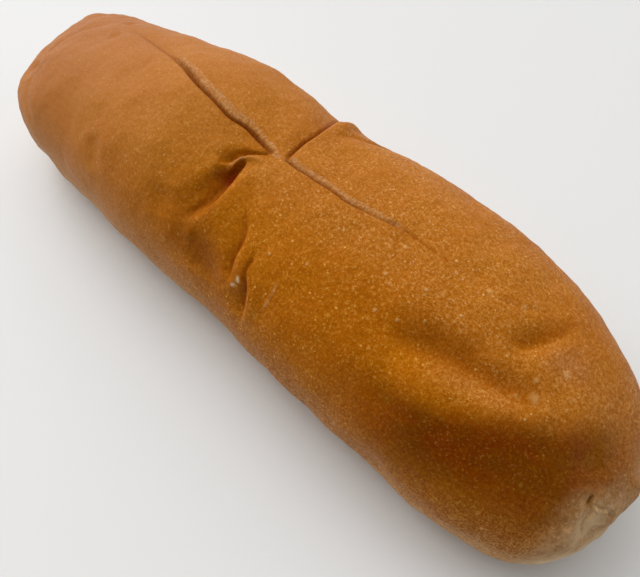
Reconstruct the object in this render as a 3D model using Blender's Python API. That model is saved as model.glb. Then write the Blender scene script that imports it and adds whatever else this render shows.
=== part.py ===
"""Hoagie roll: one long soft bread roll with a torn score line along its crest.

Metres, +Z up. The roll lies along X on its flat base. The origin is at the middle of
the base, and +X points to the end with the pinched seam. The sizes below are in
millimetres, and turn into metres when the mesh is placed.
"""

import math
from collections import namedtuple

import bmesh
import bpy
import numpy as np
from mathutils import Matrix

MM = 0.001

# ---- driving dimensions, in millimetres, from the far end to the pinched end ----
LENGTH = 230.0
WIDTHS = (76.0, 67.0, 65.0, 68.5, 67.5, 71.5, 73.5, 76.5, 81.0)
HEIGHTS = (37.5, 44.5, 49.5, 53.0, 49.5, 50.0, 50.0, 48.5, 46.0)
DRIFTS = (5.5, -4.5, -3.5, -1.5, 0.0, 1.5, 2.0, -0.5, -4.5)

# ---- form of the sections and of the ends ----
BELT = 0.49  # height of the widest level, as a share of the section's height
TOP_POWER = 2.1  # superellipse powers: the crown is nearly round, the base squarer
BASE_POWER = 3.4
END_SQUARENESS = 3.94  # how late the sections begin to shrink towards an end
END_BLUNTNESS = 2.36
BASE_LIFT = 0.64  # how fast the underside curves up towards an end
SOLE_DEPTH = 1.5  # the bottom of the sections is cut flat at this height

# ---- mesh ----
RINGS = 88
COLUMNS = 68
PATH_STEPS = 24  # pieces in each crease path
# where the mesh lines crowd together: place from 0 to 1, spread and strength
MIDDLE_RINGS = ((0.525, 0.065, 2.8),)  # at the creases across the middle
COLUMN_BASE = 0.6
CROWN_COLUMNS = ((0.25, 0.03, 2.0), (0.37, 0.11, 1.0), (0.12, 0.12, 0.5))  # score, tucked side, far side
SMALL = 1e-4

# ---- colour of the crust ----
CRUST_COLOUR = (0.42, 0.17, 0.035, 1.0)
CRUST_ROUGHNESS = 0.5

# A fold is pressed in by `depth` (or raised, if negative) along a path of (x, turn): x in
# millimetres from mid-length, turn in degrees round the section, from 0 on the +Y side
# over 90 on the crest and 180 on the -Y side to 270 under the base. `left` and `right`
# are its half-widths on each side of the path, seen from outside, `power` is how flat its
# floor is, and `fades` is the share of the path over which it grows and then dies away.
Fold = namedtuple("Fold", "depth left right power fades path")

SCORE_FAR = ((-74, 70), (-58, 76.5), (-44, 83), (-34, 88), (-22, 91.5), (-11, 91), (-1, 92.5))
SCORE_NEAR = ((6, 92), (14, 92), (22, 92), (30, 91), (38, 89), (45, 87.5), (54, 87), (68, 85))
CROSS = ((5.5, 91), (4.5, 84), (4, 76), (3.5, 67), (2, 56), (0, 47), (-2, 37), (-4, 26), (-5, 14))
NOTCH = ((6.5, 72), (7.5, 66), (9, 60), (10.5, 54), (12, 46), (13, 36), (13, 24))
HOLLOW = ((-2.3, 101.5), (-1.6, 104), (-1.1, 108), (-0.6, 113), (-0.7, 118), (-1.7, 127), (-3.6, 137),
          (-5.4, 142))
HOLLOW_SLOPE = ((-4.2, 106.5), (-4, 113), (-4.2, 120), (-4.6, 126), (-5.2, 132), (-6.2, 139), (-7.5, 146))
NEAR_BANK = ((1.5, 99), (2, 108), (2, 118), (1, 128), (-1, 140))
POCKET = ((-7.2, 111), (-6.4, 108.5), (-5.6, 105.9), (-4.9, 103.1), (-4, 100.5), (-2.6, 97.9))
UPPER_TUCK = ((8.5, 119), (10.6, 123.2), (12.4, 128), (13.1, 132.2), (13.4, 137.2), (14.4, 147.2),
              (15.4, 152.5))
UPPER_FLAP = ((12, 124), (14.2, 128.2), (15.2, 133.5), (15.9, 138.2), (16.7, 143), (17, 148))
LOWER_TUCK = ((18, 132.5), (18.8, 138.2), (18.9, 141.2), (20.7, 148.3), (21.9, 158), (22.2, 163.2),
              (22.9, 168.5))
LOWER_FLAP = ((21, 140), (22, 145), (23.3, 151), (24.3, 157), (24.8, 163), (25.5, 168))
SIDE_DENT = ((0.5, 146), (3.5, 149), (5.8, 153), (7.5, 157.5), (8.5, 163))
BASE_BULGE = ((29, 183), (35, 184), (41, 187), (48, 192))
END_CREASE = ((-87, 134), (-88.5, 124), (-90, 113), (-92, 101), (-91, 89), (-87, 78), (-82, 68))
END_BULGE = ((-98, 146), (-94, 151), (-89, 157), (-83, 164))
END_PRESS = ((-96, 126), (-98, 114), (-101, 101), (-105, 86))
DENT_UPPER = ((75.5, 94), (79.2, 87.5), (81.4, 79.5), (82.9, 69), (83.6, 55))
DENT_LOWER = ((61, 122), (65.5, 118), (70, 114), (75, 110.5), (79.5, 107), (84, 103), (87.5, 99), (90, 96))
RIDGE = ((60.5, 134.5), (66, 130), (70.5, 126), (75.5, 121.5), (80.5, 115.5), (85.5, 109),
         (89.5, 102.5), (92.5, 96.5))
END_TUCK = ((108.9, 111.8), (109.7, 113.5), (110.2, 117), (110.2, 120), (110.8, 129.2), (111.5, 135),
            (112.1, 141.2))
END_SHOULDER = ((112.8, 84), (113.4, 68), (113.9, 52), (114.2, 40))

FOLDS = (
    # the torn score: a narrow groove, a pale shelf beside it and the lip of the crust
    Fold(1.5, 1.3, 0.9, 2, (0.35, 0.05), SCORE_FAR),
    Fold(0.8, 3.4, 0.6, 2, (0.45, 0.15), SCORE_FAR),
    Fold(-0.6, 0.5, 5.0, 2, (0.4, 0.2), SCORE_FAR),
    Fold(1.0, 1.1, 0.9, 2, (0.03, 0.6), SCORE_NEAR),
    Fold(0.5, 3.0, 0.6, 2, (0.05, 0.55), SCORE_NEAR),
    # the crease across the middle, its second notch and the swelling between them
    Fold(2.0, 1.7, 1.3, 1.6, (0.05, 0.3), CROSS),
    Fold(1.4, 5.0, 2.5, 2, (0.4, 0.3), CROSS),
    Fold(1.1, 2.0, 3.0, 2, (0.5, 0.3), NOTCH),
    Fold(-1.4, 3.0, 3.0, 2, (0.5, 0.4), ((6, 62), (5.5, 52), (4.5, 42), (3, 30))),
    # the deep hollow beside the score, its swollen near bank and the pocket behind it
    Fold(3.2, 1.3, 2.8, 2.4, (0.15, 0.6), HOLLOW),
    Fold(2.1, 2.8, 2.8, 2, (0.3, 0.6), HOLLOW_SLOPE),
    Fold(-0.8, 4.0, 1.5, 2, (0.3, 0.5), NEAR_BANK),
    Fold(2.1, 2.0, 1.3, 2, (0.3, 0.3), POCKET),
    # the tucks low on the side: a slope down from the far side and a flap on the near one
    Fold(1.5, 1.2, 3.0, 1.6, (0.5, 0.2), UPPER_TUCK),
    Fold(-0.6, 2.2, 1.3, 2, (0.4, 0.3), UPPER_FLAP),
    Fold(2.2, 1.3, 3.2, 1.8, (0.6, 0.2), LOWER_TUCK),
    Fold(-0.8, 2.8, 1.3, 2, (0.4, 0.3), LOWER_FLAP),
    # soft dents and swellings along the sides
    Fold(2.0, 4.0, 4.5, 2, (0.4, 0.4), SIDE_DENT),
    Fold(-0.7, 2.0, 2.0, 2, (0.4, 0.4), ((-4.2, 148.5), (-2.1, 147.2), (0, 145.3))),
    Fold(1.1, 3.6, 3.6, 2, (0.4, 0.4), ((-14, 134), (-12, 152))),
    Fold(0.9, 3.0, 3.6, 2, (0.4, 0.4), ((-44, 138), (-38, 158))),
    Fold(-0.9, 5.0, 5.0, 2, (0.3, 0.3), BASE_BULGE),
    Fold(1.0, 8.0, 8.0, 2, (0.4, 0.4), ((60, 182), (70, 187), (80, 183))),
    Fold(0.9, 7.0, 7.0, 2, (0.4, 0.4), ((-82, 190), (-68, 197))),
    Fold(0.8, 4.0, 4.0, 2, (0.4, 0.4), ((-25, 38), (-23, 20))),
    Fold(0.8, 4.0, 5.0, 2, (0.4, 0.4), ((44, 30), (49, 12))),
    # the crease before the far end's knob, a small bulge and the dents around them
    Fold(1.9, 3.4, 4.0, 2, (0.3, 0.4), END_CREASE),
    Fold(-1.0, 3.6, 3.6, 2, (0.4, 0.4), END_BULGE),
    Fold(0.8, 8.0, 8.0, 2, (0.3, 0.3), END_PRESS),
    Fold(1.0, 6.0, 6.0, 2, (0.4, 0.4), ((-103, 52), (-92, 42))),
    Fold(0.6, 2.2, 2.2, 2, (0.4, 0.4), ((-75, 83), (-71, 80))),
    Fold(0.7, 2.5, 2.5, 2, (0.4, 0.4), ((-82, 62), (-78, 59))),
    # the dents and the swelling near the pinched end
    Fold(1.5, 3.6, 2.3, 2, (0.3, 0.5), DENT_UPPER),
    Fold(2.2, 4.6, 3.6, 2, (0.2, 0.25), DENT_LOWER),
    Fold(-1.1, 4.0, 5.5, 2, (0.3, 0.3), RIDGE),
    Fold(0.9, 6.0, 6.0, 2, (0.4, 0.4), ((100, 100), (104, 90))),
    # the pinched seam: a small hole with tucks running down and across from it
    Fold(1.8, 1.4, 1.4, 2, (0.0, 0.0), ((108.1, 108.4), (108.3, 113))),
    Fold(0.8, 1.4, 2.2, 2, (0.1, 0.4), END_TUCK),
    Fold(0.6, 1.4, 1.4, 2, (0.2, 0.5), ((108.9, 110.6), (111.2, 109), (113.5, 103))),
    Fold(0.5, 2.0, 3.0, 2, (0.2, 0.6), ((108.6, 104), (111.2, 90), (112.4, 69))),
    Fold(-1.2, 4.5, 4.5, 2, (0.4, 0.4), END_SHOULDER),
    Fold(1.9, 4.5, 4.5, 2, (0.5, 0.5), ((113.4, 124), (113.2, 135), (112.6, 148))),
)


def smooth_through(values, place):
    """A smooth curve through evenly spaced values, read at places from 0 to 1."""
    values = np.asarray(values, dtype=float)
    before = 2 * values[0] - values[1]
    after = 2 * values[-1] - values[-2]
    padded = np.concatenate([[before], values, [after]])
    spot = np.clip(place, 0, 1) * (len(values) - 1)
    first = np.minimum(spot.astype(int), len(values) - 2)
    t = spot - first
    a, b, c, d = (padded[first + step] for step in range(4))
    bend = (2 * a - 5 * b + 4 * c - d) * t**2 + (3 * b - a - 3 * c + d) * t**3
    return b + 0.5 * ((c - a) * t + bend)


def smooth_step(value):
    value = np.clip(value, 0, 1)
    return value * value * (3 - 2 * value)


def crowded(count, base, crowds):
    """Places from 0 to 1, closer together round each crowd's place."""
    fine = np.linspace(0, 1, 4001)
    middle = (fine[1:] + fine[:-1]) / 2
    density = base + sum(strength * np.exp(-(((middle - place) / spread) ** 2))
                         for place, spread, strength in crowds)
    total = np.concatenate([[0], np.cumsum(density)])
    return np.interp(np.linspace(0, 1, count + 1), total / total[-1], fine)


def section(along):
    """Half-width, height, sideways drift and end shrinkage of the section at -1 to 1."""
    place = (along + 1) / 2
    shrink = (1 - np.abs(along) ** END_SQUARENESS) ** (1 / END_BLUNTNESS)
    return (
        smooth_through(WIDTHS, place) / 2,
        smooth_through(HEIGHTS, place),
        smooth_through(DRIFTS, place),
        shrink,
    )


def loaf(along, turn):
    """Points on the smooth roll; `turn` goes round a section from +Y over the crest."""
    half_width, height, drift, shrink = section(along)
    belt = BELT * height
    crown = np.sin(turn) > 0
    power = np.where(crown, TOP_POWER, BASE_POWER)
    out = np.sign(np.cos(turn)) * np.abs(np.cos(turn)) ** (2 / power)
    rise = np.abs(np.sin(turn)) ** (2 / power)
    z = belt + np.where(crown, (height - belt) * shrink * rise, -belt * shrink**BASE_LIFT * rise)
    return np.stack([along * LENGTH / 2, drift + half_width * shrink * out, z], axis=-1)


def normals_of(along, turn):
    """Outward directions of the smooth roll, by small steps along and round it."""
    inside = np.clip(along, SMALL - 1, 1 - SMALL)
    lengthwise = loaf(inside + SMALL / 2, turn) - loaf(inside - SMALL / 2, turn)
    around = loaf(inside, turn + SMALL) - loaf(inside, turn - SMALL)
    normals = np.cross(around, lengthwise)
    normals /= np.linalg.norm(normals, axis=1)[:, None]
    tips = np.abs(along) > 1 - SMALL
    normals[tips] = np.stack([np.sign(along[tips]), 0 * along[tips], 0 * along[tips]], axis=-1)
    return normals


def laid(path):
    """A path of (x, turn), made smooth and laid on the roll."""
    places = np.linspace(0, 1, PATH_STEPS + 1)
    x, turn = (smooth_through(values, places) for values in zip(*path))
    return loaf(2 * x / LENGTH, np.radians(turn))


def measured(points, normals, line):
    """Distance to a line, negative on its right seen from outside, and the share along it."""
    lengths = np.concatenate([[0], np.cumsum(np.linalg.norm(np.diff(line, axis=0), axis=1))])
    distance = np.full(len(points), np.inf)
    side = np.ones(len(points))
    share = np.zeros(len(points))
    for index, (start, end) in enumerate(zip(line[:-1], line[1:])):
        leg = end - start
        part = np.clip((points - start) @ leg / (leg @ leg), 0, 1)
        gap = points - start - part[:, None] * leg
        reach = np.linalg.norm(gap, axis=1)
        nearer = reach < distance
        distance[nearer] = reach[nearer]
        left = np.einsum("ij,ij->i", gap, np.cross(normals, leg)) >= 0
        side[nearer] = np.where(left, 1, -1)[nearer]
        done = lengths[index] + part * (lengths[index + 1] - lengths[index])
        share[nearer] = done[nearer] / lengths[-1]
    return distance * side, share


def pressed(points, normals, fold):
    """How far a fold pushes each point inwards."""
    across, share = measured(points, normals, laid(fold.path))
    width = np.where(across > 0, fold.left, fold.right)
    grow, die = fold.fades
    strength = smooth_step(share / max(grow, SMALL)) * smooth_step((1 - share) / max(die, SMALL))
    if grow == 0 or die == 0:
        strength = np.ones(len(points))
    return fold.depth * strength * np.exp(-np.abs(across / width) ** fold.power)


def roll_points(ring, column):
    """The finished surface at each ring and column of the mesh."""
    ring_places = crowded(RINGS, 1.0, MIDDLE_RINGS)
    column_places = crowded(COLUMNS, COLUMN_BASE, CROWN_COLUMNS)
    along = -np.cos(math.pi * ring_places[ring])
    turn = 2 * math.pi * column_places[column]
    # the columns slide round the crown so that one of them runs along the score
    score_turn = np.interp(along * LENGTH / 2, *zip(*(SCORE_FAR + SCORE_NEAR)))
    turn = turn + np.radians(score_turn - 90) * np.clip(np.sin(turn), 0, 1)
    points = loaf(along, turn)
    normals = normals_of(along, turn)
    inward = sum(pressed(points, normals, fold) for fold in FOLDS)
    points = points - normals * inward[:, None]
    points[:, 2] = np.maximum(points[:, 2] - SOLE_DEPTH, 0)
    middle = (points.min(axis=0) + points.max(axis=0)) / 2
    points[:, :2] -= middle[:2]
    return points


def shape_roll(mesh):
    """Turn a ball with its poles on X into the roll."""
    ball = bmesh.new()
    poles_on_x = Matrix.Rotation(math.pi / 2, 4, "Y")
    bmesh.ops.create_uvsphere(ball, u_segments=COLUMNS, v_segments=RINGS, radius=1, matrix=poles_on_x)
    directions = np.array([vertex.co[:] for vertex in ball.verts])
    ring = np.rint(np.arccos(np.clip(-directions[:, 0], -1, 1)) / math.pi * RINGS).astype(int)
    turns = np.arctan2(directions[:, 2], directions[:, 1]) / (2 * math.pi)
    column = np.rint(turns * COLUMNS).astype(int) % COLUMNS
    for vertex, point in zip(ball.verts, roll_points(ring, column)):
        vertex.co = point * MM
    bmesh.ops.triangulate(ball, faces=ball.faces)
    bmesh.ops.recalc_face_normals(ball, faces=ball.faces)
    ball.to_mesh(mesh)
    ball.free()
    mesh.shade_smooth()


def crust_material():
    material = bpy.data.materials.new("crust")
    material.use_nodes = True
    shader = material.node_tree.nodes["Principled BSDF"]
    shader.inputs["Base Color"].default_value = CRUST_COLOUR
    shader.inputs["Roughness"].default_value = CRUST_ROUGHNESS
    shader.inputs["Metallic"].default_value = 0.0
    return material


def clear_scene():
    for thing in list(bpy.data.objects):
        bpy.data.objects.remove(thing)


def build():
    clear_scene()
    collection = bpy.data.collections.new("hoagie_roll")
    bpy.context.scene.collection.children.link(collection)
    mesh = bpy.data.meshes.new("roll")
    shape_roll(mesh)
    mesh.materials.append(crust_material())
    collection.objects.link(bpy.data.objects.new("roll", mesh))


build()
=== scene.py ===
"""Looks of the hoagie roll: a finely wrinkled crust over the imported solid, floor and light.

The roll's surface is worked out again from the same sizes as the solid, on a much finer
mesh, with the narrow cracks, lips and rough crumb that the solid leaves out. The blisters
are in its material. Sizes are in millimetres and turn into metres when a mesh is placed.
A path is a row of (x, turn): x from mid-length, turn in degrees round the section, from 0
on the +Y side over 90 on the crest and 180 on the -Y side to 270 under the base.
"""

import math
from collections import namedtuple

import bpy
import numpy as np
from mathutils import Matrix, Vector


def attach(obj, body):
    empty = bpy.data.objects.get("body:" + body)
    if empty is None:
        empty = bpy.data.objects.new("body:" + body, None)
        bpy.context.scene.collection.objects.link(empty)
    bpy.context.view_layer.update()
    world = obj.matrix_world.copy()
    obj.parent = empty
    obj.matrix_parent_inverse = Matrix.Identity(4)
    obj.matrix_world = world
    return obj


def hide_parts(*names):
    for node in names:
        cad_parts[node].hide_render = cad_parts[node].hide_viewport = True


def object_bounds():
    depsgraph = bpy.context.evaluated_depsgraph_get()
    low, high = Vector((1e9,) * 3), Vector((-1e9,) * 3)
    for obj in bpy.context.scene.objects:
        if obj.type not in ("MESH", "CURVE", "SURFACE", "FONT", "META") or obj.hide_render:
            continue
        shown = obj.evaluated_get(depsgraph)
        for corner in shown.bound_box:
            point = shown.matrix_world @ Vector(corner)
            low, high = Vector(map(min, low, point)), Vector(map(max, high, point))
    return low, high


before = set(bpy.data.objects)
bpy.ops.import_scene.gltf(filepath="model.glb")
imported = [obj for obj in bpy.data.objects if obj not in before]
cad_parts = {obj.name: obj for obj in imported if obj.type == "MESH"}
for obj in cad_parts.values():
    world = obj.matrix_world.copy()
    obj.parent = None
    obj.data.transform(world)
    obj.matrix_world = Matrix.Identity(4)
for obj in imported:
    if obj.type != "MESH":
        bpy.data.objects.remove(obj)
cad_low, cad_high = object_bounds()

MM = 0.001
SMALL = 1e-4  # a small step along the roll or round it

# ---- the roll's driving dimensions, from the far end to the pinched end ----
LENGTH = 230.0
WIDTHS = (76.0, 67.0, 65.0, 68.5, 67.5, 71.5, 73.5, 76.5, 81.0)
HEIGHTS = (37.5, 44.5, 49.5, 53.0, 49.5, 50.0, 50.0, 48.5, 46.0)
DRIFTS = (5.5, -4.5, -3.5, -1.5, 0.0, 1.5, 2.0, -0.5, -4.5)
BELT = 0.49  # height of the widest level, as a share of the section's height
TOP_POWER = 2.1  # roundness of a section above its widest level: 2 is an ellipse
BASE_POWER = 3.4
END_SQUARENESS = 3.94
END_BLUNTNESS = 2.36
BASE_LIFT = 0.64  # how fast the base rises towards the ends
SOLE_DEPTH = 1.5  # how much of the base the flat sole takes off

# ---- mesh ----
RINGS = 404
COLUMNS = 240
PATH_STEPS = 32
SCAN_STEPS = 4001  # places tried when rings and columns are spaced
REACH = 3.0  # half-widths beyond which a stroke no longer counts
# how far apart the rings lie, relative to one another, at places along the roll
SPACING_AT = (-115, -60, -45, -12, -8, 28, 34, 98, 104, 115)
SPACING = (1.2, 1.0, 0.62, 0.55, 0.33, 0.33, 0.75, 0.75, 0.42, 0.42)
# how close together the columns lie: on each side, under the base, and more at the crest
FAR_SIDE_CROWDING = 0.9
NEAR_SIDE_CROWDING = 1.9
BASE_CROWDING = 0.35
CREST_CROWDING = 2.2
CREST_SPREAD = 0.03  # as a share of the way round

# A stroke along a path works by `depth` at its line and fades over `left` and `right`, its
# half-widths on each side seen from outside. `power` is how flat its middle is. Each of
# the first three is one number, or several evenly spaced along the path.
Stroke = namedtuple("Stroke", "depth left right power path")

SCORE_FAR = ((-74, 70), (-64, 73.5), (-54, 77.5), (-45.4, 81), (-37.7, 84.2), (-32.3, 87.2),
             (-27.5, 89.2), (-21.5, 90.3), (-15, 91.5), (-9.5, 90.2), (-4, 91), (0.6, 92))
SCORE_NEAR = ((6, 91), (10.1, 91.3), (15.2, 91.2), (21.3, 91), (26, 91.3), (30.8, 90.2),
              (36.5, 88.8), (42, 87.2), (48, 87), (55, 86.5), (62, 86))
CROSS = ((5.6, 91), (4.7, 88), (4.1, 84.5), (3.5, 79), (3.2, 72.5), (2.4, 65.5), (1.1, 57),
         (-0.6, 47.5), (-2.2, 38), (-4, 26), (-5, 14))
NOTCH = ((5.7, 66), (6.4, 62.5), (7.5, 58), (9, 53), (11, 47), (13, 38), (13, 26))
HOLLOW = ((-2.3, 101.5), (-1.6, 104), (-1.1, 108), (-0.6, 113), (-0.7, 118), (-1.1, 122.5),
          (-1.7, 127), (-2.5, 132), (-3.6, 137), (-5.4, 142))
HOLLOW_SLOPE = ((-4.2, 106.5), (-4.0, 113), (-4.2, 120), (-4.6, 126), (-5.2, 132), (-6.2, 139),
                (-7.5, 146))
LIP = ((2.9, 95.2), (1.5, 97), (-0.4, 98.8), (-2.2, 101), (-3.0, 103.6), (-3.4, 106.8),
       (-3.6, 109.4), (-4.1, 111.4), (-5, 113))
POCKET = ((-7.2, 111), (-6.4, 108.5), (-5.6, 105.9), (-4.9, 103.1), (-4.0, 100.5), (-2.6, 97.9),
          (-1.1, 95.8), (0.4, 93.8))
UPPER_TUCK = ((8.5, 119), (10.6, 123.2), (12.4, 128), (13.1, 132.2), (13.4, 137.2), (13.8, 142.5),
              (14.4, 147.2), (15.4, 152.5))
UPPER_FLAP = ((12, 124), (14.2, 128.2), (15.2, 133.5), (15.9, 138.2), (16.7, 143), (17, 148))
LOWER_TUCK = ((18, 132.5), (18.6, 135), (18.8, 138.2), (18.9, 141.2), (19.6, 144.3), (20.7, 148.3),
              (21.4, 153), (21.9, 158), (22.2, 163.2), (22.9, 168.5))
LOWER_FLAP = ((21, 140), (22, 145), (23.3, 151), (24.3, 157), (24.8, 163), (25.5, 168))
SCRATCH = ((27.5, 134.8), (28.1, 139), (28.3, 143), (28.2, 147.5), (27.9, 152))
SIDE_DENT = ((-1.5, 151), (2.5, 151.5), (5.2, 154.5), (7, 159), (8, 166))
DENT_UPPER = ((75.5, 94), (77.3, 91), (79.2, 87.5), (80.4, 83.6), (81.4, 79.5), (82.2, 75),
              (82.9, 69), (83.4, 62), (83.6, 55))
DENT_LOWER = ((55, 121.5), (60, 118.5), (65, 115), (70, 111), (75, 108.5), (79.5, 106), (84, 103),
              (87.5, 99), (90, 96))
RIDGE = ((60.5, 134.5), (66, 130), (70.5, 126), (75.5, 121.5), (80.5, 115.5), (85.5, 109),
         (89.5, 102.5), (92.5, 96.5))
END_SEAM = ((108.9, 111.8), (109.7, 113.5), (110.2, 117), (110.2, 120), (110.3, 124.2),
            (110.8, 129.2), (111.5, 135), (112.1, 141.2))
END_ARC = ((108.9, 111.2), (110, 110), (111.2, 109), (112, 106.8), (112.8, 104.8), (113.5, 101.5))
PINCH = ((108.1, 108.4), (108.3, 110), (108.4, 111.6), (108.3, 113))
BROWNED_BAND = ((48, 150), (58, 147), (67, 143.5), (75, 138.5), (84, 129), (91, 119.5),
                (97.5, 108.5), (103, 96), (107, 82), (109, 68))

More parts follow.
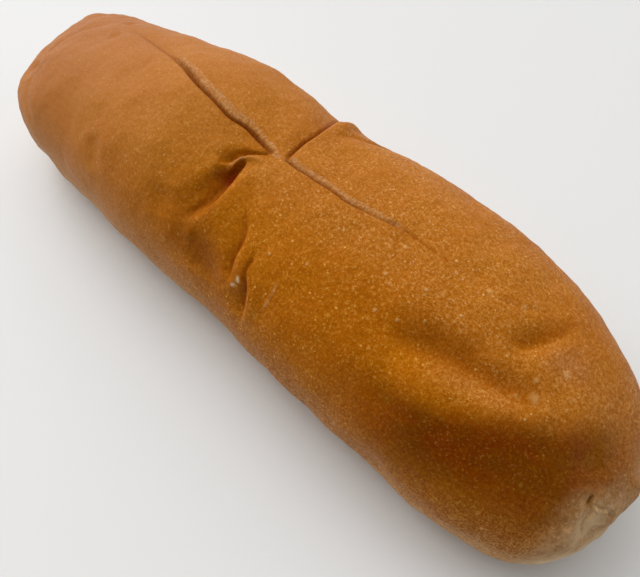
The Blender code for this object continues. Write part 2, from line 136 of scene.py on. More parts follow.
FOLDS = (
    # the torn score: a narrow groove, a rough shelf beside it and the lip of the crust
    Stroke((0, 0.2, 0.35, 0.5, 0.9, 1.9, 2.5, 1.9, 1.5, 1.9, 2.1, 0.9),
           (0.4, 0.4, 0.5, 0.8, 0.9, 0.6, 0.6, 0.6), (0.4, 0.4, 0.5, 0.8, 0.8, 0.5, 0.6, 0.5), 2,
           SCORE_FAR),
    Stroke((0, 0, 0, 0.1, 0.2, 0.35, 0.5, 0.5, 0.45, 0.4, 0.4, 0.2),
           (1, 1, 1.2, 1.5, 2.0, 2.2, 2.4, 2.6, 3.0, 2.8, 2.4, 1.5), 0.5, 3, SCORE_FAR),
    Stroke((0, 0, -0.1, -0.2, -0.4, -0.5, -0.5, -0.4, -0.4, -0.4, -0.4, -0.1), 0.3, 3.5, 2,
           SCORE_FAR),
    Stroke((0, 0.5, 0.8, 0.6, 0.1), 2.2, 2.2, 2, SCORE_FAR[:5]),
    Stroke((0.9, 0.9, 0.8, 0.8, 0.6, 0.45, 0.4, 0.3, 0.2, 0.1, 0), 0.4, 0.35, 2, SCORE_NEAR),
    Stroke((0.2, 0.3, 0.3, 0.3, 0.3, 0.2, 0.1, 0, 0, 0, 0), 1.8, 0.5, 3, SCORE_NEAR),
    Stroke(0.6, 0.6, 0.6, 2, ((38, 87.8), (39.5, 87.2))),
    # the crease across the middle, its second notch and the swelling between them
    Stroke((0.6, 1.3, 1.6, 1.6, 1.5, 1.4, 1.3, 1.1, 0.8, 0.4, 0), 0.7, 0.4, 2, CROSS),
    Stroke((0, 0.6, 1.0, 1.2, 1.3, 1.4, 1.5, 1.5, 1.1, 0.5, 0), (2, 3, 4, 4.5, 5, 5, 5), 0.8, 2,
           CROSS),
    Stroke((0, -0.3, -0.4, -0.4, -0.4, -0.3, 0), 0.3, 4.0, 2, CROSS[:7]),
    Stroke((0, 0.5, 0.8, 1.0, 1.1, 0.8, 0), 1.2, 2.5, 2, NOTCH),
    Stroke((0, -1.0, -1.5, -1.2, 0), 2.5, 2.4, 2,
           ((4.2, 62), (3.7, 54), (3.2, 46), (2.8, 38), (2.4, 30))),
    # the deep hollow beside the score, its swollen near bank, lip and pocket
    Stroke((0.8, 2.8, 3.2, 3.0, 2.8, 2.4, 2.0, 1.6, 1.0, 0.2),
           (0.5, 0.5, 0.5, 0.6, 0.8, 1.1, 1.3, 1.4, 1.4, 1.4),
           (0.9, 1.8, 2.6, 2.8, 2.6, 2.2, 1.8, 1.6, 1.4, 1), 2.4, HOLLOW),
    Stroke((1.0, 2.0, 2.1, 1.8, 1.4, 0.8, 0.2), (1.6, 2.4, 2.8, 3.0, 3.0), (1.6, 2.2, 2.6, 3.2, 3),
           2, HOLLOW_SLOPE),
    Stroke((0, -0.6, -0.8, -0.5, 0), 4.0, 1.2, 2,
           ((1.5, 99), (2, 108), (2, 118), (1, 128), (-1, 140))),
    Stroke((0, 1.1, 1.7, 1.8, 1.6, 1.2, 0.9, 0.7), (2.0, 2.0, 1.9, 1.7, 1.2, 0.6, 0.4, 0.4),
           (0.8, 0.8, 0.8, 0.7, 0.5, 0.4, 0.35, 0.35), 2, POCKET),
    Stroke((0, -0.15, -0.25, -0.5, -0.8, -0.9, -0.9, -0.6, -0.2, 0), (1.2, 1.0, 0.6, 0.4, 0.4),
           0.7, 2, LIP),
    # the tucks low on the side: a slope down from the far side and a flap on the near one
    Stroke((0, 0.5, 0.8, 1.1, 1.4, 1.5, 1.3, 0.3), 0.5, (1.5, 3.0, 3.0, 2.4, 1.5), 1.6,
           UPPER_TUCK),
    Stroke((0, -0.3, -0.4, -0.4, -0.4, 0), 2.6, 1.0, 2, UPPER_FLAP),
    Stroke((0.2, 0.5, 0.5, 0.5, 0.9, 1.7, 2.3, 2.4, 2.0, 0.8), 0.5,
           (0.5, 0.5, 0.5, 0.6, 1.4, 2.8, 3.6, 3.8, 3.6, 3.2), 1.6, LOWER_TUCK),
    Stroke((0, -0.4, -0.7, -0.8, -0.6, 0), 2.8, 0.9, 2, LOWER_FLAP),
    Stroke((0, -0.06, -0.06, -0.06, 0), 0.35, 0.35, 2, SCRATCH),
    # soft dents along the sides
    Stroke((0.5, 1.3, 1.6, 1.4, 0.5), 6.0, 6.0, 2, SIDE_DENT),
    Stroke((0, -0.35, 0), 2.2, 2.2, 2, ((-4.2, 149), (-2.1, 147.8), (0, 146))),
    Stroke((0, -0.9, -0.9, 0), 5.0, 5.0, 2, ((29, 183), (35, 184), (41, 187), (48, 192))),
    Stroke((0, 1.1, 0), 3.6, 3.6, 2, ((-14, 134), (-13, 143), (-12, 152))),
    Stroke((0, 0.9, 0.9, 0), 3.0, 3.6, 2, ((-44, 138), (-42, 144), (-40, 151), (-38, 158))),
    Stroke((0, 1.0, 0), 8.0, 8.0, 2, ((60, 182), (70, 187), (80, 183))),
    Stroke((0, 0.9, 0), 7.0, 7.0, 2, ((-82, 190), (-75, 193), (-68, 197))),
    Stroke((0, 0.8, 0), 4.0, 4.0, 2, ((-25, 38), (-24, 29), (-23, 20))),
    Stroke((0, 0.8, 0), 4.0, 5.0, 2, ((44, 30), (46, 21), (49, 12))),
    # the crease before the far end's knob, a small bulge and the dents around them
    Stroke((0.8, 1.9, 2.1, 2.0, 1.4, 1.0, 0), 3.4, 3.2, 2,
           ((-89.5, 137), (-91.8, 127), (-93.5, 115), (-94.5, 103), (-92.5, 90), (-87.5, 78),
            (-82, 68))),
    Stroke((0.4, 0.9, 1.2, 1.9, 0.9), 2.2, 2.2, 2,
           ((-101, 118), (-98, 125), (-96, 131.5), (-95, 136.5), (-93.5, 140.5))),
    Stroke((0, -0.9, -0.6, 0), 3.6, 3.6, 2, ((-99, 146), (-95, 151.5), (-90, 158), (-84, 165))),
    Stroke((0, 0.8, 1.2, 1.1, 0.8, 0.5, 0.3, 0), 1.3, 1.3, 2,
           ((-91.5, 127), (-90.6, 131.5), (-89.2, 137), (-87, 142.5), (-84.3, 147.5), (-81, 153),
            (-77, 158), (-72, 165))),
    Stroke((0, 0.8, 0), 3.0, 3.0, 2, ((-100, 101), (-96.5, 96), (-93, 91))),
    Stroke((0, -0.6, -0.6, 0), 4.0, 4.0, 2, ((-105, 84), (-105, 76), (-104, 68), (-102, 60))),
    Stroke((0, 0.8, 0.8, 0), 8.0, 8.0, 2, ((-96, 126), (-98, 114), (-101, 101), (-105, 86))),
    Stroke((0, 1.0, 0), 6.0, 6.0, 2, ((-103, 52), (-97, 47), (-92, 42))),
    Stroke((0, 0.6, 0), 2.2, 2.2, 2, ((-75, 83), (-73, 81), (-71, 80))),
    Stroke((0, 0.7, 0), 2.5, 2.5, 2, ((-82, 62), (-80, 61), (-78, 59))),
    # the dents and the swelling near the pinched end
    Stroke((0, 0.8, 1.4, 1.5, 1.2, 0.8, 0.5, 0.2, 0), 3.4, 2.1, 2, DENT_UPPER),
    Stroke((0.5, 1.3, 1.6, 1.8, 1.9, 2.0, 2.2, 1.2, 0), (5.0, 4.6, 4.2, 4.0), 3.6, 2, DENT_LOWER),
    Stroke((0, -0.6, -1.0, -1.1, -1.1, -1.0, -0.6, 0), 4.0, 5.5, 2, RIDGE),
    Stroke((0, 0.5, 0), 7.0, 7.0, 2, ((100, 102), (102, 95), (104, 88))),
    Stroke((0, 0.25, 0.3, 0.25, 0), 0.7, 0.7, 2,
           ((65.9, 84.5), (69.2, 83), (73.3, 78.5), (77.4, 70), (81.2, 61))),
    # the pinched seam: a small hole with tucks running down and across from it
    Stroke((0.8, 1.4, 1.3, 0.5), (0.55, 0.3), (0.55, 0.3), 2, PINCH),
    Stroke((0.4, 0.4, 0.35, 0.35, 0.35, 0.35, 0.3, 0), 0.32, 0.4, 2, END_SEAM),
    Stroke((0.2, 0.3, 0.3, 0.3, 0.3, 0.3, 0.2, 0), 0.8, 2.4, 2, END_SEAM),
    Stroke((0, 0.5, 0.4), 0.3, 0.3, 2, ((108.9, 111.5), (109.6, 112.8), (110.5, 114.3))),
    Stroke((0, -0.5, -0.3), 0.28, 0.3, 2, ((109.1, 111.3), (109.9, 112.4), (110.8, 113.4))),
    Stroke((0.2, 0.4, 0.4, 0.4, 0.3, 0), 0.35, 0.5, 2, END_ARC),
    Stroke((0.2, 0.9, 0.3), 0.7, 0.6, 2, ((112.9, 106.4), (113.4, 107.8), (113.9, 109.6))),
    Stroke((0, -0.45, -0.4, 0), 0.45, 0.45, 2,
           ((111.6, 107), (112, 108.6), (112.5, 110.6), (112.8, 112.5))),
    Stroke((0, 0.4, 0.3, 0.2, 0), 2.0, 3.0, 2,
           ((108.6, 104), (110, 97), (111.2, 90), (112, 79), (112.4, 69))),
    Stroke((0, -1.2, -1.2, 0), 4.5, 4.5, 2, ((112.8, 84), (113.4, 68), (113.9, 52), (114.2, 40))),
    Stroke((0, 0.8, 1.3, 1.3, 0.8, 0), 4.5, 4.5, 2,
           ((114, 112), (113.8, 120), (113.4, 130), (113, 140), (112.6, 150), (112, 160))),
)

# where the crust is torn open and its pale crumb shows
TORN = (
    Stroke((0, 0, 0, 0, 0.3, 0.8, 1, 1, 1, 1, 1, 0.6),
           (1, 1, 1.2, 1.5, 2.2, 2.7, 3.1, 3.3, 3.4, 3.2, 2.6, 1.6), 0.3, 5, SCORE_FAR),
    Stroke((1, 1, 1, 1, 0.9, 0.8, 0.5, 0.3, 0.1, 0, 0), 2.0, 0.3, 5, SCORE_NEAR),
    Stroke((1, 1, 0.7), 1.2, 1.0, 4, ((-1, 90), (1.2, 91.2), (3, 92))),
)
# painted shade: dark and brown, down in a crease or a dent
SHADED_CREASES = (
    Stroke((0, 0.2, 0.3, 0.4, 0.6, 0.9, 1, 1, 0.9, 0.9, 1, 0.7), (0.5, 0.6, 0.8, 0.8),
           (0.4, 0.6, 0.9, 0.9), 2, SCORE_FAR),
    Stroke((0.8, 0.8, 0.8, 0.8, 0.7, 0.5, 0.5, 0.4, 0.3, 0.1, 0), 0.4, 0.35, 2, SCORE_NEAR),
    Stroke((0.4, 0.8, 0.8, 0.7, 0.6, 0.5, 0.4, 0.3, 0), 0.7, 0.4, 2, CROSS[:9]),
    Stroke((0, 0.2, 0.3, 0.3, 0.4, 0.5, 0.5, 0.5), (1.6, 1.6, 1.4, 1.2, 0.8, 0.5, 0.4), 0.5, 2,
           POCKET),
    Stroke((0, 0.25, 0.35, 0.3, 0), 1.5, 1.5, 2,
           ((-2.5, 120), (-1.5, 124), (0, 128), (0.5, 132), (0, 138))),
    Stroke((0, 0.3, 0.5, 0.6, 0.7, 0.7, 0.7, 0.5, 0), 0.5, 1.0, 2, UPPER_TUCK),
    Stroke((0, 0.4, 0.5, 0.7, 0.8, 0.8, 0.7, 0.5, 0), 0.6, 1.4, 2, LOWER_TUCK),
    Stroke((0, 0.2, 0.3, 0.4, 0.4, 0.3, 0.2, 0), 2.5, 0.6, 2, DENT_UPPER),
    Stroke((0, 0.15, 0.2, 0.25, 0.3, 0.35, 0.4, 0.3, 0), 4.6, 1.6, 2, DENT_LOWER),
    Stroke((0.5, 0.7, 0.5), 0.6, 0.6, 2, PINCH),
    Stroke((0.3, 0.3, 0.25, 0.2, 0.2, 0.15, 0.1, 0), 0.4, 0.4, 2, END_SEAM),
)
# painted shade: darkest, down in the hollow
SHADED_HOLLOW = (
    Stroke((0.1, 0.4, 0.95, 0.95, 0.45, 0.3, 0.25, 0.2, 0.15, 0.1), 0.7,
           (1.2, 2.8, 4.2, 4.6, 4.4, 3.8, 3.0, 2.4, 1.6, 1), 3, HOLLOW),
)
# baked browner than the rest, and partly painted shade where the near end and the dents face away
# from the light
BROWNED_AND_SHADED = (
    Stroke((0, 0.4, 0.8, 1, 1, 1, 1, 0.9, 0.5), (5, 5, 5, 6, 7.5, 9), (10, 14, 17, 17, 16, 14), 3,
           BROWNED_BAND),
    Stroke((0.4, 0.5, 0.55, 0.45, 0.2), 6.5, 6.5, 2.4, SIDE_DENT),
    Stroke((0, 0.25, 0.4, 0.3, 0), 5.0, 4.0, 2,
           ((54, 118), (59, 115.5), (64, 112), (69, 107.5), (74, 104))),
    Stroke((0.2, 0.4, 0.45, 0.4, 0.2), 5.0, 5.0, 2,
           ((100, 112), (101, 121), (102, 131), (102.5, 142), (102, 154))),
)
# painted shade: a deeper amber where shade falls round the hollow, the pocket and the dents
AMBER_SHADE = (
    Stroke((0.4, 0.9, 0.9, 0.9, 0.8, 0.5), 1.2, (3, 5, 7, 7, 6, 4), 2, HOLLOW),
    Stroke((0.3, 0.8, 0.8, 0.5), 3.5, 2.0, 2, POCKET),
    Stroke((0, 0.7, 0.8, 0.8, 0.5, 0.2, 0), 3.6, 1.0, 2, DENT_UPPER),
    Stroke((0.6, 0.9, 0.9, 0.9, 0.5), 7.0, 7.0, 2.4, SIDE_DENT),
)
# floury: two dabs and the scratch, and a painted highlight along the lip's edge
FLOUR_AND_HIGHLIGHT = (
    Stroke(1.0, 0.5, 0.5, 3, ((17.9, 147.4), (18.2, 148.6))),
    Stroke(0.8, 0.42, 0.42, 3, ((17.5, 152), (16.8, 153.4))),
    Stroke((0, 0.3, 0.1, 0.3, 0), 0.22, 0.22, 2, SCRATCH),
    Stroke((0, 0.05, 0.1, 0.15, 0.25, 0.3, 0.25, 0), 0.35, 0.35, 2,
           ((1.5, 96.1), (-0.6, 98.5), (-2.2, 100.3), (-3, 102), (-3.6, 103.8), (-4.3, 105.6),
            (-4.7, 107.4), (-4.8, 109.2))),
)
# the palest crust, beside the seam
PALED = (
    Stroke((0.2, 0.6, 0.6, 0.5), 3.5, 3.5, 2,
           ((112.5, 112), (112, 119), (111.5, 128), (111.5, 140))),
)
# painted highlight: a soft shine, paler and greyer
SHINE = (
    Stroke((0, 0.7, 1, 1, 0.6, 0), 2.5, 3.0, 2,
           ((64, 122), (69, 119.5), (74, 116.5), (79, 113), (83.5, 109), (88, 104))),
    Stroke((0, 0.7, 0.8, 0), 4.0, 4.0, 2, ((82, 87), (86, 82), (90, 76), (93, 68))),
)
# the larger blisters: x, turn, radius
BLISTERS = ((87.5, 98.5, 1.7), (85.4, 93.8, 1.0), (84.7, 102.8, 0.9), (88.8, 82.8, 1.1),
            (65.5, 84.5, 1.0), (73, 77.2, 0.8), (55.6, 100, 0.8), (46.7, 104.8, 0.8),
            (49.9, 118.2, 0.8), (55.8, 115, 0.7), (44.8, 92.2, 0.8), (48.7, 106.8, 0.7),
            (21.5, 128, 0.7), (31, 121, 0.7), (96, 128, 0.8))
# the edge of the pale crust round the pinched seam, as x at each turn
PALE_TURNS = (0, 43, 86, 97, 106, 113, 126, 141, 159, 270, 360)
PALE_FROM = (114.4, 114, 112.4, 111.2, 109, 107, 106.8, 107.3, 107, 107, 114.4)


def smooth_through(values, place):
    """A smooth curve through evenly spaced values, read at places from 0 to 1."""
    values = np.asarray(values, dtype=float)
    before = 2 * values[0] - values[1]
    after = 2 * values[-1] - values[-2]
    padded = np.concatenate([[before], values, [after]])
    spot = np.clip(place, 0, 1) * (len(values) - 1)
    first = np.minimum(spot.astype(int), len(values) - 2)
    t = spot - first
    a, b, c, d = (padded[first + step] for step in range(4))
    bend = (2 * a - 5 * b + 4 * c - d) * t**2 + (3 * b - a - 3 * c + d) * t**3
    return b + 0.5 * ((c - a) * t + bend)


def smooth_step(value, start=0.0, end=1.0):
    value = np.clip((value - start) / (end - start), 0, 1)
    return value * value * (3 - 2 * value)


def loaf(along, turn):
    """Points on the smooth roll, `along` from -1 to 1, `turn` round a section from +Y."""
    place = (along + 1) / 2
    shrink = (1 - np.abs(along) ** END_SQUARENESS) ** (1 / END_BLUNTNESS)
    half_width = smooth_through(WIDTHS, place) / 2
    height = smooth_through(HEIGHTS, place)
    belt = BELT * height
    crown = np.sin(turn) > 0
    power = np.where(crown, TOP_POWER, BASE_POWER)
    out = np.sign(np.cos(turn)) * np.abs(np.cos(turn)) ** (2 / power)
    rise = np.abs(np.sin(turn)) ** (2 / power)
    z = belt + np.where(crown, (height - belt) * shrink * rise, -belt * shrink**BASE_LIFT * rise)
    y = smooth_through(DRIFTS, place) + half_width * shrink * out
    return np.stack([along * LENGTH / 2, y, z], axis=-1)


def normals_of(along, turn):
    """Outward directions of the smooth roll, by small steps along and round it."""
    inside = np.clip(along, SMALL - 1, 1 - SMALL)
    lengthwise = loaf(inside + SMALL / 2, turn) - loaf(inside - SMALL / 2, turn)
    around = loaf(inside, turn + SMALL) - loaf(inside, turn - SMALL)
    normals = np.cross(around, lengthwise)
    normals /= np.linalg.norm(normals, axis=1)[:, None]
    tips = np.abs(along) > 1 - SMALL
    normals[tips] = np.stack([np.sign(along[tips]), 0 * along[tips], 0 * along[tips]], axis=-1)
    return normals


def laid(path):
    """A path of (x, turn), made smooth and laid on the roll."""
    places = np.linspace(0, 1, PATH_STEPS + 1)
    x, turn = (smooth_through(values, places) for values in zip(*path))
    return loaf(2 * x / LENGTH, np.radians(turn))


def measured(points, normals, line):
    """Distance to a line, negative on its right seen from outside, and the share along it."""
    lengths = np.concatenate([[0], np.cumsum(np.linalg.norm(np.diff(line, axis=0), axis=1))])
    distance = np.full(len(points), np.inf)
    side = np.ones(len(points))
    share = np.zeros(len(points))
    for index, (start, end) in enumerate(zip(line[:-1], line[1:])):
        leg = end - start
        part = np.clip((points - start) @ leg / (leg @ leg), 0, 1)
        gap = points - start - part[:, None] * leg
        reach = np.linalg.norm(gap, axis=1)
        nearer = reach < distance
        distance[nearer] = reach[nearer]
        left = np.einsum("ij,ij->i", gap, np.cross(normals, leg)) >= 0
        side[nearer] = np.where(left, 1, -1)[nearer]
        done = lengths[index] + part * (lengths[index + 1] - lengths[index])
        share[nearer] = done[nearer] / lengths[-1]
    return distance * side, share


def along_path(size, share):
    """A stroke's size at each share of its path."""
    return smooth_through(size, share) if isinstance(size, tuple) else size


def stroked(points, normals, stroke):
    """How strongly a stroke works on each point."""
    line = laid(stroke.path)
    reach = REACH * max(np.max(stroke.left), np.max(stroke.right))
    low, high = line.min(axis=0) - reach, line.max(axis=0) + reach
    near = np.all((points > low) & (points < high), axis=1)
    work = np.zeros(len(points))
    if near.any():
        across, share = measured(points[near], normals[near], line)
        left, right = along_path(stroke.left, share), along_path(stroke.right, share)
        fade = np.exp(-np.abs(across / np.where(across > 0, left, right)) ** stroke.power)
        work[near] = along_path(stroke.depth, share) * fade
    return work


def ring_places():
    """`along` of every ring, spaced along the crest as SPACING says."""
    fine = -np.cos(np.linspace(0, math.pi, SCAN_STEPS))
    crest = loaf(fine, np.full(len(fine), math.pi / 2))
    steps = np.linalg.norm(np.diff(crest, axis=0), axis=1)
    wanted = steps / np.interp(crest[1:, 0], SPACING_AT, SPACING)
    total = np.concatenate([[0], np.cumsum(wanted)])
    return np.interp(np.linspace(0, total[-1], RINGS + 1), total, fine)


def column_places():
    """Places round a section from 0 to 1, closest together along the score."""
    fine = np.linspace(0, 1, SCAN_STEPS)
    middle = (fine[1:] + fine[:-1]) / 2
    crest, belt = 0.25, 0.5
    beyond_crest = np.where(middle < belt, NEAR_SIDE_CROWDING, BASE_CROWDING)
    crowding = np.where(middle < crest, FAR_SIDE_CROWDING, beyond_crest)
    crowding += CREST_CROWDING * np.exp(-(((middle - crest) / CREST_SPREAD) ** 2))
    total = np.concatenate([[0], np.cumsum(crowding)])
    return np.interp(np.linspace(0, total[-1], COLUMNS + 1), total, fine)[:-1]


def grid():
    """`along` and `turn` of every vertex: the far tip, the rings, then the near tip."""
    ring, column = np.meshgrid(ring_places()[1:-1], column_places(), indexing="ij")
    along = np.concatenate([[-1.0], ring.ravel(), [1.0]])
    turn = np.concatenate([[0.0], 2 * math.pi * column.ravel(), [0.0]])
    # the columns slide round the crown so that one of them runs along the score
    score_turn = np.interp(along * LENGTH / 2, *zip(*(SCORE_FAR + SCORE_NEAR)))
    return along, turn + np.radians(score_turn - 90) * np.clip(np.sin(turn), 0, 1)


def grid_faces():
    """Quads between the rings and a fan of triangles at each tip, facing outwards."""
    ring_starts = 1 + np.arange(RINGS - 2)[:, None] * COLUMNS
    here = np.arange(COLUMNS)[None, :]
    after = (here + 1) % COLUMNS
    corners = np.stack([here, after, after + COLUMNS, here + COLUMNS], axis=-1)
    quads = corners + ring_starts[:, :, None]
    last = 1 + (RINGS - 1) * COLUMNS
    last_ring = last - COLUMNS
    fans = [(0, 1 + (i + 1) % COLUMNS, 1 + i) for i in range(COLUMNS)]
    fans += [(last, last_ring + i, last_ring + (i + 1) % COLUMNS) for i in range(COLUMNS)]
    return quads.reshape(-1, 4).tolist() + fans


def ripples(points, size, seed, count=24):
    """Random smooth waves of about `size` millimetres, mostly between -2 and 2."""
    draws = np.random.default_rng(seed)
    total = np.zeros(len(points))
    for _ in range(count):
        way = draws.normal(size=3)
        way *= 2 * math.pi / (size * draws.uniform(0.7, 1.5) * np.linalg.norm(way))
        total += np.sin(points @ way + draws.uniform(0, 2 * math.pi))
    return total / math.sqrt(count / 2)


def relief(points, torn, pale_end):
    """The unevenness of the crust, rumpled at the pale end, and the torn strip's rough crumb."""
    crust = 0.16 * ripples(points, 16, seed=1) + 0.05 * ripples(points, 6, seed=2)
    crust += 0.025 * ripples(points, 2.4, seed=3)
    crust += 0.10 * pale_end * ripples(points, 3.5, seed=6)
    return crust * (1 - torn) + 0.08 * torn * ripples(points, 1.1, seed=4, count=40)


def blister_spots(smooth):
    """The vertex at the middle of each larger blister, and its radius."""
    spots = []
    for x, turn, radius in BLISTERS:
        distance = np.linalg.norm(smooth - loaf(2 * x / LENGTH, math.radians(turn)), axis=1)
        spots.append((int(np.argmin(distance)), radius))
    return spots


def crust_masks(smooth, normals, turn):
    """What the material reads at each point, as shares of about 0 to 1."""

    def marked(strokes):
        return np.clip(sum(stroked(smooth, normals, stroke) for stroke in strokes), 0, 1)

    x, z, degrees = smooth[:, 0], smooth[:, 2], np.degrees(turn)
    past_edge = x - np.interp(degrees % 360, PALE_TURNS, PALE_FROM)
    low = 1 - smooth_step(z - 6 * smooth_step(x, 70, 110), 15, 38)
    rim = 1 - smooth_step(z - 9 * smooth_step(x, 65, 100), 9, 21)
    # painted shade: amber on the near half's -Y side, which faces away from the light
    near_side = smooth_step(degrees, 96, 122) * smooth_step(x, -30, 8)
    amber_shade = np.maximum(marked(AMBER_SHADE), near_side)
    under_seam = smooth_step(past_edge, -4, 4) * (1 - smooth_step(z, 17, 30))
    pale_low = under_seam * smooth_step(degrees, 55, 95)
    grain = smooth_step(x, -70, 45) * (0.8 + 0.2 * smooth_step(degrees, 60, 100))
    return {
        "torn": marked(TORN),
        "crease_shade": marked(SHADED_CREASES),
        "hollow": marked(SHADED_HOLLOW),
        "browned_and_shaded": marked(BROWNED_AND_SHADED) * (1 - 0.7 * low),
        "flour_and_highlight": marked(FLOUR_AND_HIGHLIGHT),
        "shine": marked(SHINE),
        "grain": grain * (1 + 0.8 * low) * (1 - 0.6 * rim),
        # a tanner far half and a darker far tip, partly painted shade
        "far": 1 - smooth_step(x, -95, 5),
        "far_end": 1 - smooth_step(x, -105, -35),
        "amber_shade": amber_shade,
        "amber_shade_upper": amber_shade * (1 - 0.8 * low),
        "low": low,
        "rim": rim,
        "pale_end": smooth_step(past_edge, -4.5, 3),
        "pale_low": np.maximum(pale_low, marked(PALED)),
    }


def roll_mesh():
    """The fine surface of the roll with its masks, and the blisters on it."""
    along, turn = grid()
    smooth = loaf(along, turn)
    normals = normals_of(along, turn)
    masks = crust_masks(smooth, normals, turn)
    inward = sum(stroked(smooth, normals, fold) for fold in FOLDS)
    inward -= relief(smooth, masks["torn"], masks["pale_end"])
    points = smooth - normals * inward[:, None]
    points[:, 2] = np.maximum(points[:, 2] - SOLE_DEPTH, 0)
    masks["sole"] = 1 - smooth_step(points[:, 2], 0.1, 1.2)
    middle = (points.min(axis=0) + points.max(axis=0)) / 2
    points[:, :2] -= middle[:2]
    mesh = bpy.data.meshes.new("roll_crust")
    mesh.from_pydata(np.clip(points * MM, cad_low, cad_high).tolist(), [], grid_faces())
    mesh.update()
    mesh.shade_smooth()
    for name, values in masks.items():
        attribute = mesh.attributes.new(name, "FLOAT", "POINT")
        attribute.data.foreach_set("value", values.astype(np.float32))
    spots = blister_spots(smooth)
    return mesh, [(mesh.vertices[index].co.copy(), radius) for index, radius in spots]


class Tree:
    """Short calls that build a material's node tree."""

    def __init__(self, material):
        material.use_nodes = True
        self.nodes = material.node_tree.nodes
        self.links = material.node_tree.links
        self.shader = self.nodes["Principled BSDF"]
        self.place = self.node("ShaderNodeTexCoord").outputs["Object"]

    def node(self, kind, **settings):
        made = self.nodes.new(kind)
        for name, value in settings.items():
            setattr(made, name, value)
        return made

    def feed(self, socket, value):
        """Links a socket to another's output, or sets it to a plain value."""
        if isinstance(value, bpy.types.NodeSocket):
            self.links.new(value, socket)
        else:
            socket.default_value = value

    def maths(self, operation, first, second):
        made = self.node("ShaderNodeMath", operation=operation)
        self.feed(made.inputs[0], first)
        self.feed(made.inputs[1], second)
        return made.outputs[0]

    def times(self, first, second):
        return self.maths("MULTIPLY", first, second)

    def add(self, first, second):
        return self.maths("ADD", first, second)

    def mask(self, name, strength=1.0):
        share = self.node("ShaderNodeAttribute", attribute_name=name).outputs["Fac"]
        return share if strength == 1 else self.times(share, strength)

    def mix(self, share, first, second, blend="MIX"):
        made = self.node("ShaderNodeMix", data_type="RGBA", blend_type=blend)
        self.feed(made.inputs["Factor"], share)
        self.feed(made.inputs[6], first)
        self.feed(made.inputs[7], second)
        return made.outputs[2]

    def span(self, value, start, end, low=0.0, high=1.0):
        """A smooth rise from low to high as value goes from start to end."""
        made = self.node("ShaderNodeMapRange", interpolation_type="SMOOTHSTEP")
        for socket, number in zip(made.inputs[:5], (value, start, end, low, high)):
            self.feed(socket, number)
        return made.outputs[0]

    def noise(self, size, detail=2.0, roughness=0.5, seed=0.0):
        """Cloudy noise from about 0.3 to 0.7, with blotches of `size` millimetres."""
        made = self.node("ShaderNodeTexNoise", noise_dimensions="4D")
        self.feed(made.inputs["Vector"], self.place)
        made.inputs["W"].default_value = seed
        made.inputs["Scale"].default_value = 1 / (size * MM)
        made.inputs["Detail"].default_value = detail
        made.inputs["Roughness"].default_value = roughness
        return made.outputs["Fac"]

    def scattered(self, dots):
        """A share that is 1 inside scattered dots and fades out round them."""
        made = self.node("ShaderNodeTexVoronoi", voronoi_dimensions="4D")
        self.feed(made.inputs["Vector"], self.place)
        made.inputs["W"].default_value = dots.seed
        made.inputs["Scale"].default_value = 1 / (dots.spacing * MM)
        split = self.node("ShaderNodeSeparateColor")
        self.feed(split.inputs[0], made.outputs["Color"])
        inside = self.span(made.outputs["Distance"], dots.outer, dots.inner)
        return self.times(inside, self.span(split.outputs[dots.draw], dots.least, dots.most))

    def domes(self, blisters):
        """Height of the blisters, from 0 outside their ragged rims to 1 in their middles."""
        total = 0.0
        uneven = self.times(self.noise(1.0, detail=2, seed=10), 1.2 * MM)
        for centre, radius in blisters:
            made = self.node("ShaderNodeVectorMath", operation="DISTANCE")
            self.feed(made.inputs[0], self.place)
            made.inputs[1].default_value = centre
            away = self.add(made.outputs["Value"], uneven)
            dome = self.span(away, (radius + 0.6) * MM, (0.2 * radius + 0.6) * MM)
            total = self.maths("MAXIMUM", total, dome)
        return total


GOLDEN = (0.485, 0.175, 0.018, 1)
RUSSET = (0.435, 0.138, 0.010, 1)
# painted shade: an amber tint where shade falls
AMBER_SHADE_TINT = (0.90, 0.80, 0.03, 1)
# tanner far half, darkened partly as painted shade
FAR_TAN_AND_SHADE = (0.400, 0.147, 0.037, 1)
# browner crust, partly painted shade
BAKED_AND_SHADE_TINT = (0.42, 0.26, 0.03, 1)
BAKED_AND_SHADE_OLIVE = (0.37, 0.30, 0.02, 1)
BROWN_FLECK = (0.34, 0.15, 0.03, 1)
# painted shade in the creases and dents: a tint, then dark brown
CREASE_SHADE_TINT = (1, 0.95, 0.2, 1)
CREASE_SHADE_BROWN = (0.20, 0.033, 0.001, 1)
# painted shade, down in the hollow
HOLLOW_SHADE = (0.17, 0.012, 0.0004, 1)
TORN_CRUMB = (0.51, 0.26, 0.105, 1)
TORN_DARK = (0.43, 0.155, 0.03, 1)
# painted highlight
SHEEN_HIGHLIGHT = (0.47, 0.195, 0.065, 1)
# painted shade at the far tip
FAR_TIP_SHADE = (0.31, 0.095, 0.018, 1)
SPECK = (0.70, 0.38, 0.14, 1)
GRAIN_DARK = (0.32, 0.085, 0.001, 1)
LOW_PALE = (0.56, 0.30, 0.115, 1)
RIM_PALE = (0.74, 0.49, 0.25, 1)
END_PALE = (0.56, 0.345, 0.165, 1)
END_TAN = (0.36, 0.18, 0.065, 1)
END_RIM = (0.80, 0.60, 0.35, 1)
# painted shade: an amber tint where shade falls, less low down
AMBER_SHADE_TONE = (1.0, 0.93, 0.3, 1)
BLISTERED = (0.66, 0.37, 0.135, 1)
# flour, and a painted highlight on the lip
FLOUR_AND_HIGHLIGHT_TONE = (0.68, 0.50, 0.30, 1)
SOLE_TAN = (0.36, 0.16, 0.04, 1)


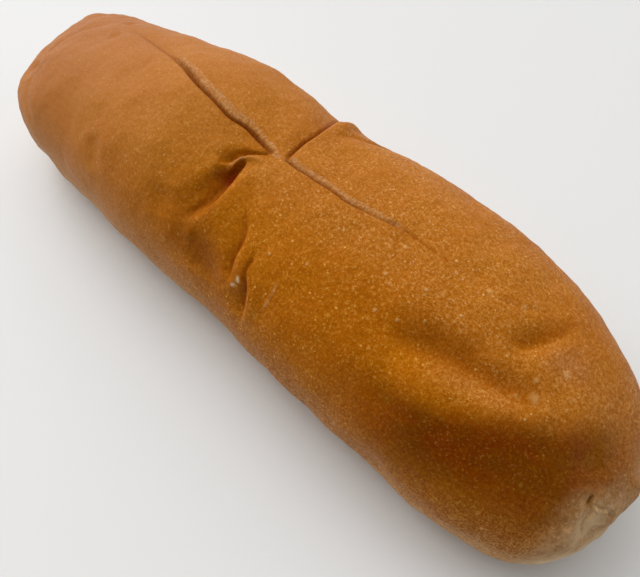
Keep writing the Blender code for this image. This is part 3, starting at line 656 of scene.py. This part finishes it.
# Dots scattered about `spacing` millimetres apart. Each fades from `outer` to `inner`, as
# shares of the spacing, and shows as far as its random draw goes from `least` to `most`.
Dots = namedtuple("Dots", "spacing seed draw outer inner least most strength colour height")
DOTS = (
    Dots(1.2, 9, 1, 0.32, 0.12, 0.35, 1.0, 0.9, SPECK, 1.0),
    Dots(2.4, 4, 0, 0.20, 0.12, 0.5, 0.9, 0.75, SPECK, 1.0),
    Dots(5.5, 13, 0, 0.13, 0.07, 0.5, 0.7, 0.5, BLISTERED, 2.0),
)


def crust_colour(tree):
    """Golden to russet in soft patches, tanner at the far end and paler low down, with painted
    shade that tints it amber where shade falls and darkens the far end, and a painted highlight.
    """
    tone = tree.span(tree.noise(14, detail=3, seed=1), 0.35, 0.65)
    colour = tree.mix(tree.times(tone, 0.8), GOLDEN, RUSSET)
    # painted shade: amber where shade falls
    colour = tree.mix(tree.mask("amber_shade"), colour, AMBER_SHADE_TINT, "MULTIPLY")
    # tanner towards the far end, darkened partly as painted shade
    colour = tree.mix(tree.mask("far", 0.8), colour, FAR_TAN_AND_SHADE)
    # painted shade: darker at the far tip
    colour = tree.mix(tree.mask("far_end", 0.5), colour, FAR_TIP_SHADE)
    # painted highlight: a soft shine
    colour = tree.mix(tree.mask("shine", 0.8), colour, SHEEN_HIGHLIGHT)
    colour = tree.mix(tree.mask("low", 0.7), colour, LOW_PALE)
    colour = tree.mix(tree.mask("rim", 0.6), colour, RIM_PALE)
    mottle = tree.span(tree.noise(2.2, detail=3, seed=2), 0.35, 0.65)
    return tree.mix(tree.times(mottle, 0.3), colour, RUSSET)


def grained(tree, colour):
    """Adds the sandy grain and the scattered dots, and also gives the height of each."""
    bare = tree.span(tree.mask("browned_and_shaded"), 0, 1, 1, 0.7)
    grain = tree.times(tree.add(tree.mask("grain", 0.85), 0.25), bare)
    patch = tree.span(tree.noise(3.5, detail=2, seed=11), 0.38, 0.62, 0.45, 1)
    sand = tree.noise(0.8, detail=4, roughness=0.75, seed=3)
    gap = tree.times(tree.span(sand, 0.52, 0.36), tree.times(grain, 0.8))
    colour = tree.mix(gap, colour, GRAIN_DARK)
    patchy = tree.times(tree.times(grain, patch), 0.6)
    colour = tree.mix(tree.times(tree.span(sand, 0.5, 0.66), patchy), colour, SPECK)
    pits = tree.span(tree.noise(0.4, detail=1, seed=18), 0.49, 0.36)
    colour = tree.mix(tree.times(pits, tree.times(grain, 0.75)), colour, GRAIN_DARK)
    raised = 0.0
    for dots in DOTS:
        share = tree.scattered(dots)
        colour = tree.mix(tree.times(share, tree.times(grain, dots.strength)), colour, dots.colour)
        raised = tree.add(raised, tree.times(share, dots.height))
    return colour, tree.times(sand, grain), raised


def baked_and_shaded(tree, colour):
    """Bakes the crust browner, partly as painted shade, in two tints, with paler flecks."""
    patches = tree.span(tree.noise(7, detail=3, seed=14), 0.38, 0.62)
    tint = tree.mix(patches, BAKED_AND_SHADE_TINT, BAKED_AND_SHADE_OLIVE)
    colour = tree.mix(tree.mask("browned_and_shaded"), colour, tint, "MULTIPLY")
    flecks = tree.span(tree.noise(0.6, detail=2, roughness=0.6, seed=12), 0.57, 0.67)
    return tree.mix(tree.times(tree.mask("browned_and_shaded", 0.45), flecks), colour, BROWN_FLECK)


def seam_paled(tree, colour):
    """The pale, blotched and flaky crust round the pinched seam."""
    blotch = tree.span(tree.noise(2.2, detail=4, roughness=0.7, seed=15), 0.36, 0.62)
    skin = tree.mix(blotch, END_PALE, END_TAN)
    colour = tree.mix(tree.mask("pale_end", 0.8), colour, skin)
    colour = tree.mix(tree.mask("pale_low", 0.8), colour, END_RIM)
    flaky = tree.span(tree.noise(0.8, detail=3, roughness=0.7, seed=17), 0.54, 0.66)
    return tree.mix(tree.times(tree.mask("pale_end", 0.6), flaky), colour, FLOUR_AND_HIGHLIGHT_TONE)


def score_torn(tree, colour):
    """The rough crumb along the torn score, with ragged edges."""
    crumbs = tree.span(tree.noise(0.7, detail=2, seed=7), 0.4, 0.65)
    crumb = tree.mix(crumbs, TORN_DARK, TORN_CRUMB)
    uneven = tree.times(tree.noise(1.1, detail=3, seed=8), 1.1)
    ragged = tree.span(tree.add(tree.mask("torn"), uneven), 0.9, 1.15)
    return tree.mix(tree.times(ragged, 0.9), colour, crumb)


def crust_material(blisters):
    material = bpy.data.materials.new("crust")
    tree = Tree(material)
    colour, sanded, raised = grained(tree, crust_colour(tree))
    # painted shade: more amber where shade falls, less low down
    colour = tree.mix(tree.mask("amber_shade_upper", 0.8), colour, AMBER_SHADE_TONE, "MULTIPLY")
    dome = tree.domes(blisters)
    colour = tree.mix(tree.times(dome, 0.5), colour, BLISTERED)
    colour = score_torn(tree, seam_paled(tree, baked_and_shaded(tree, colour)))
    # flour, and a painted highlight along the lip's edge
    colour = tree.mix(tree.mask("flour_and_highlight"), colour, FLOUR_AND_HIGHLIGHT_TONE)
    colour = tree.mix(tree.mask("sole"), colour, SOLE_TAN)
    # painted shade in the creases and dents: an amber tint, then dark brown
    colour = tree.mix(tree.mask("crease_shade"), colour, CREASE_SHADE_TINT, "MULTIPLY")
    colour = tree.mix(tree.mask("crease_shade"), colour, CREASE_SHADE_BROWN)
    # painted shade, darkest down in the hollow
    colour = tree.mix(tree.mask("hollow"), colour, HOLLOW_SHADE)
    tree.feed(tree.shader.inputs["Base Color"], colour)
    rough = tree.noise(0.8, detail=2, seed=5)
    tree.feed(tree.shader.inputs["Roughness"], tree.span(rough, 0.3, 0.7, 0.42, 0.6))
    tree.shader.inputs["Specular IOR Level"].default_value = 0.1
    tree.shader.inputs["Specular Tint"].default_value = (1, 0.55, 0.15, 1)
    bump = tree.node("ShaderNodeBump")
    height = tree.add(sanded, tree.add(tree.times(raised, 0.35), tree.times(dome, 0.5)))
    tree.feed(bump.inputs["Height"], height)
    bump.inputs["Strength"].default_value = 0.9
    bump.inputs["Distance"].default_value = 0.25 * MM
    tree.feed(tree.shader.inputs["Normal"], bump.outputs[0])
    return material


def make_roll():
    mesh, blisters = roll_mesh()
    roll = bpy.data.objects.new("roll_crust", mesh)
    bpy.context.scene.collection.objects.link(roll)
    mesh.materials.append(crust_material(blisters))
    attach(roll, "root")
    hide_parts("roll")


def direction(azimuth, elevation):
    """From the object outwards: azimuth 0 is -Y and 90 is +X."""
    a, e = math.radians(azimuth), math.radians(elevation)
    return Vector((math.sin(a) * math.cos(e), -math.cos(a) * math.cos(e), math.sin(e)))


def aimed(thing, target, azimuth, elevation, distance):
    """Places a camera or a light round a target and turns it towards it."""
    back = direction(azimuth, elevation)
    thing.location = Vector(target) + back * distance
    thing.rotation_euler = (-back).to_track_quat("-Z", "Y").to_euler()
    bpy.context.scene.collection.objects.link(thing)


CAMERA_TARGET = (0.0261, -0.0100, 0.0200)
CAMERA_AZIMUTH = 45.635
CAMERA_ELEVATION = 57.526
CAMERA_DISTANCE = 0.1745
CAMERA_LENS = 36.0


def make_camera():
    camera = bpy.data.objects.new("camera", bpy.data.cameras.new("camera"))
    camera.data.lens = CAMERA_LENS
    camera.data.sensor_width = 36.0
    camera.data.clip_start = 0.01
    aimed(camera, CAMERA_TARGET, CAMERA_AZIMUTH, CAMERA_ELEVATION, CAMERA_DISTANCE)
    bpy.context.scene.camera = camera


def make_sun(name, azimuth, elevation, energy):
    """A broad soft light from one direction."""
    light = bpy.data.lights.new(name, "SUN")
    light.angle = math.radians(SUN_SPREAD)
    light.energy = energy
    aimed(bpy.data.objects.new(name, light), (0, 0, 0.02), azimuth, elevation, 1.0)


SKY_AZIMUTH = 252
SKY_ELEVATION = 50
SKY_BRIGHT = 1.58
SKY_EDGE = 0.42  # brightness of the band along the horizon
SKY_TOP = 0.03
SUN_SPREAD = 50  # degrees


def sky():
    """A soft dome, bright round one direction, with a pale band along the horizon."""
    world = bpy.data.worlds.new("sky")
    world.use_nodes = True
    nodes, links = world.node_tree.nodes, world.node_tree.links
    ray = nodes.new("ShaderNodeTexCoord").outputs["Generated"]

    def facing(way):
        made = nodes.new("ShaderNodeVectorMath")
        made.operation = "DOT_PRODUCT"
        made.inputs[1].default_value = way
        links.new(ray, made.inputs[0])
        return made.outputs["Value"]

    def span(value, *numbers):
        made = nodes.new("ShaderNodeMapRange")
        made.interpolation_type = "SMOOTHSTEP"
        for socket, number in zip(made.inputs[1:5], numbers):
            socket.default_value = number
        links.new(value, made.inputs[0])
        return made.outputs[0]

    glow = span(facing(direction(SKY_AZIMUTH, SKY_ELEVATION)), 0.25, 1.0, 0.0, SKY_BRIGHT)
    edge = span(facing((0, 0, 1)), 0.42, 0.05, SKY_TOP, SKY_EDGE)
    total = nodes.new("ShaderNodeMath")
    links.new(glow, total.inputs[0])
    links.new(edge, total.inputs[1])
    background = nodes["Background"]
    background.inputs["Color"].default_value = (1, 0.995, 0.98, 1)
    links.new(total.outputs[0], background.inputs["Strength"])
    return world


def make_studio():
    bpy.ops.mesh.primitive_plane_add(size=4, location=(0, 0, cad_low.z))
    floor = bpy.context.object
    floor.name = "floor"
    material = bpy.data.materials.new("floor")
    material.use_nodes = True
    shader = material.node_tree.nodes["Principled BSDF"]
    shader.inputs["Base Color"].default_value = (0.72, 0.72, 0.72, 1)
    shader.inputs["Roughness"].default_value = 0.5
    floor.data.materials.append(material)
    bpy.context.scene.world = sky()
    make_sun("high", 270, 43, 1.2)
    make_sun("low", 130, 22, 0.5)
    bpy.context.scene.view_settings.view_transform = "Standard"


make_roll()
make_camera()
make_studio()
